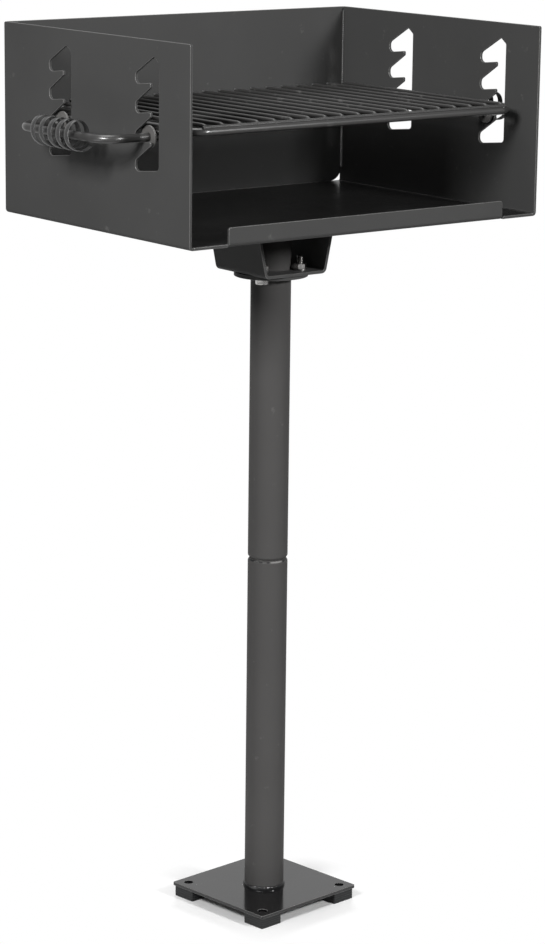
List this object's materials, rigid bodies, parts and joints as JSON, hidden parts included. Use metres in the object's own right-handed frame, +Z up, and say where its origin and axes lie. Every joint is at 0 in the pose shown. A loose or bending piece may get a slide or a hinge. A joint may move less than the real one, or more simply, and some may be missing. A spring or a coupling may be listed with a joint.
{
  "type": "park bbq grill pedestal",
  "caption": "Park charcoal grill: an open steel firebox with toothed slots and an adjustable bar grate, on a swivelling round post with a square bolt-down base plate.",
  "frame": {"origin": "on the post's axis, on the ground under the feet", "axes": "+Z up, -Y the open front of the firebox, +X the firebox's right side seen from the front"},
  "size_m": [0.8074, 0.457, 1.344],
  "materials": {
    "bare_spigot": "bare steel",
    "coated_bracket": "satin black powder coat",
    "coated_firebox": "satin black high-heat powder coat",
    "coated_plate": "gloss black powder coat",
    "coated_post": "satin black powder coat",
    "coated_weld": "satin black powder coat over a weld bead",
    "coil_grip": "semi-gloss black coating",
    "foot_block": "matte black",
    "grate_rod": "semi-gloss black high-heat coating",
    "handle_rod": "semi-gloss black high-heat coating",
    "zinc_fastener": "bright zinc plating"
  },
  "bodies": {
    "base": {"base_plate": "coated_plate", "foot_rear_right": "foot_block", "foot_rear_left": "foot_block", "foot_front_left": "foot_block", "foot_front_right": "foot_block", "base_weld": "coated_weld", "lower_post": "coated_post", "post_spigot": "bare_spigot"},
    "head": {"upper_post": "coated_post", "post_flange": "coated_plate", "flange_weld": "coated_weld", "saddle_bracket": "coated_bracket", "saddle_weld_left": "coated_weld", "saddle_weld_right": "coated_weld", "flange_bolts": "zinc_fastener", "flange_washers": "zinc_fastener", "flange_nuts": "zinc_fastener", "floor_pan": "coated_firebox", "back_panel": "coated_firebox", "left_side": "coated_firebox", "right_side": "coated_firebox", "corner_weld_left": "coated_weld", "corner_weld_right": "coated_weld"},
    "grate": {"grate_frame": "grate_rod", "grate_bar_01": "grate_rod", "grate_bar_02": "grate_rod", "grate_bar_03": "grate_rod", "grate_bar_04": "grate_rod", "grate_bar_05": "grate_rod", "grate_bar_06": "grate_rod", "grate_bar_07": "grate_rod", "grate_bar_08": "grate_rod", "grate_bar_09": "grate_rod", "grate_bar_10": "grate_rod", "grate_bar_11": "grate_rod", "grate_bar_12": "grate_rod", "grate_bar_13": "grate_rod", "grate_bar_14": "grate_rod", "grate_bar_15": "grate_rod", "grate_bar_16": "grate_rod", "grate_bar_17": "grate_rod", "grate_bar_18": "grate_rod", "grate_bar_19": "grate_rod", "handle_left": "handle_rod", "handle_right": "handle_rod", "keeper_left_front": "handle_rod", "keeper_left_rear": "handle_rod", "keeper_right_front": "handle_rod", "keeper_right_rear": "handle_rod", "leg_welds": "coated_weld", "coil_grip_left": "coil_grip", "coil_grip_right": "coil_grip"}
  },
  "joints": [
    {"name": "post_swivel", "type": "hinge", "parent": "base", "child": "head", "pos_m": [0, 0, 0.545], "axis": [0, 0, 1], "continuous": true},
    {"name": "grate_slide", "type": "slide", "parent": "head", "child": "grate", "axis": [0, -0.9942, 0.108], "range_m": [-0.012, 0.029]}
  ]
}
